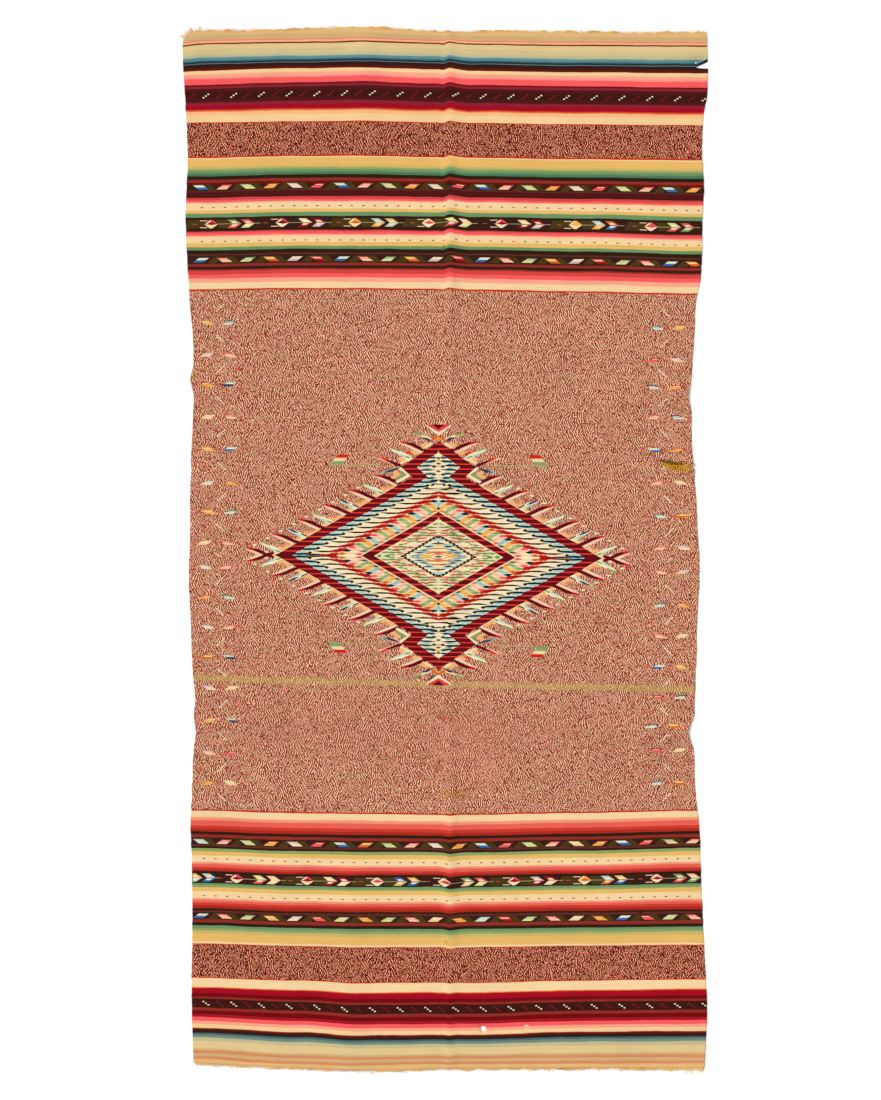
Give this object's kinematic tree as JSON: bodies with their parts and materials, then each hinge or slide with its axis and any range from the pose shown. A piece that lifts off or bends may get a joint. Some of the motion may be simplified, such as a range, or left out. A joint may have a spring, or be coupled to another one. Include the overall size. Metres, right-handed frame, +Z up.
{
  "type": "serape",
  "caption": "Long flat hand-woven wool serape with striped ends, a plain marled field, a stepped diamond medallion and raw frayed warp ends, lying face up.",
  "frame": {"origin": "on the floor under the middle of the whole piece, frayed ends included", "axes": "+Y along the warp towards the upper end, +X across the cloth to the right, +Z up out of the face"},
  "size_m": [1.155, 2.3184, 0.0072],
  "materials": {
    "woven_wool": "matt weft-faced wool weave",
    "warp_yarn": "loose twisted yarn ends"
  },
  "bodies": {
    "root": {"cloth": "woven_wool", "fray_top": "warp_yarn", "fray_bottom": "warp_yarn"}
  },
  "joints": []
}
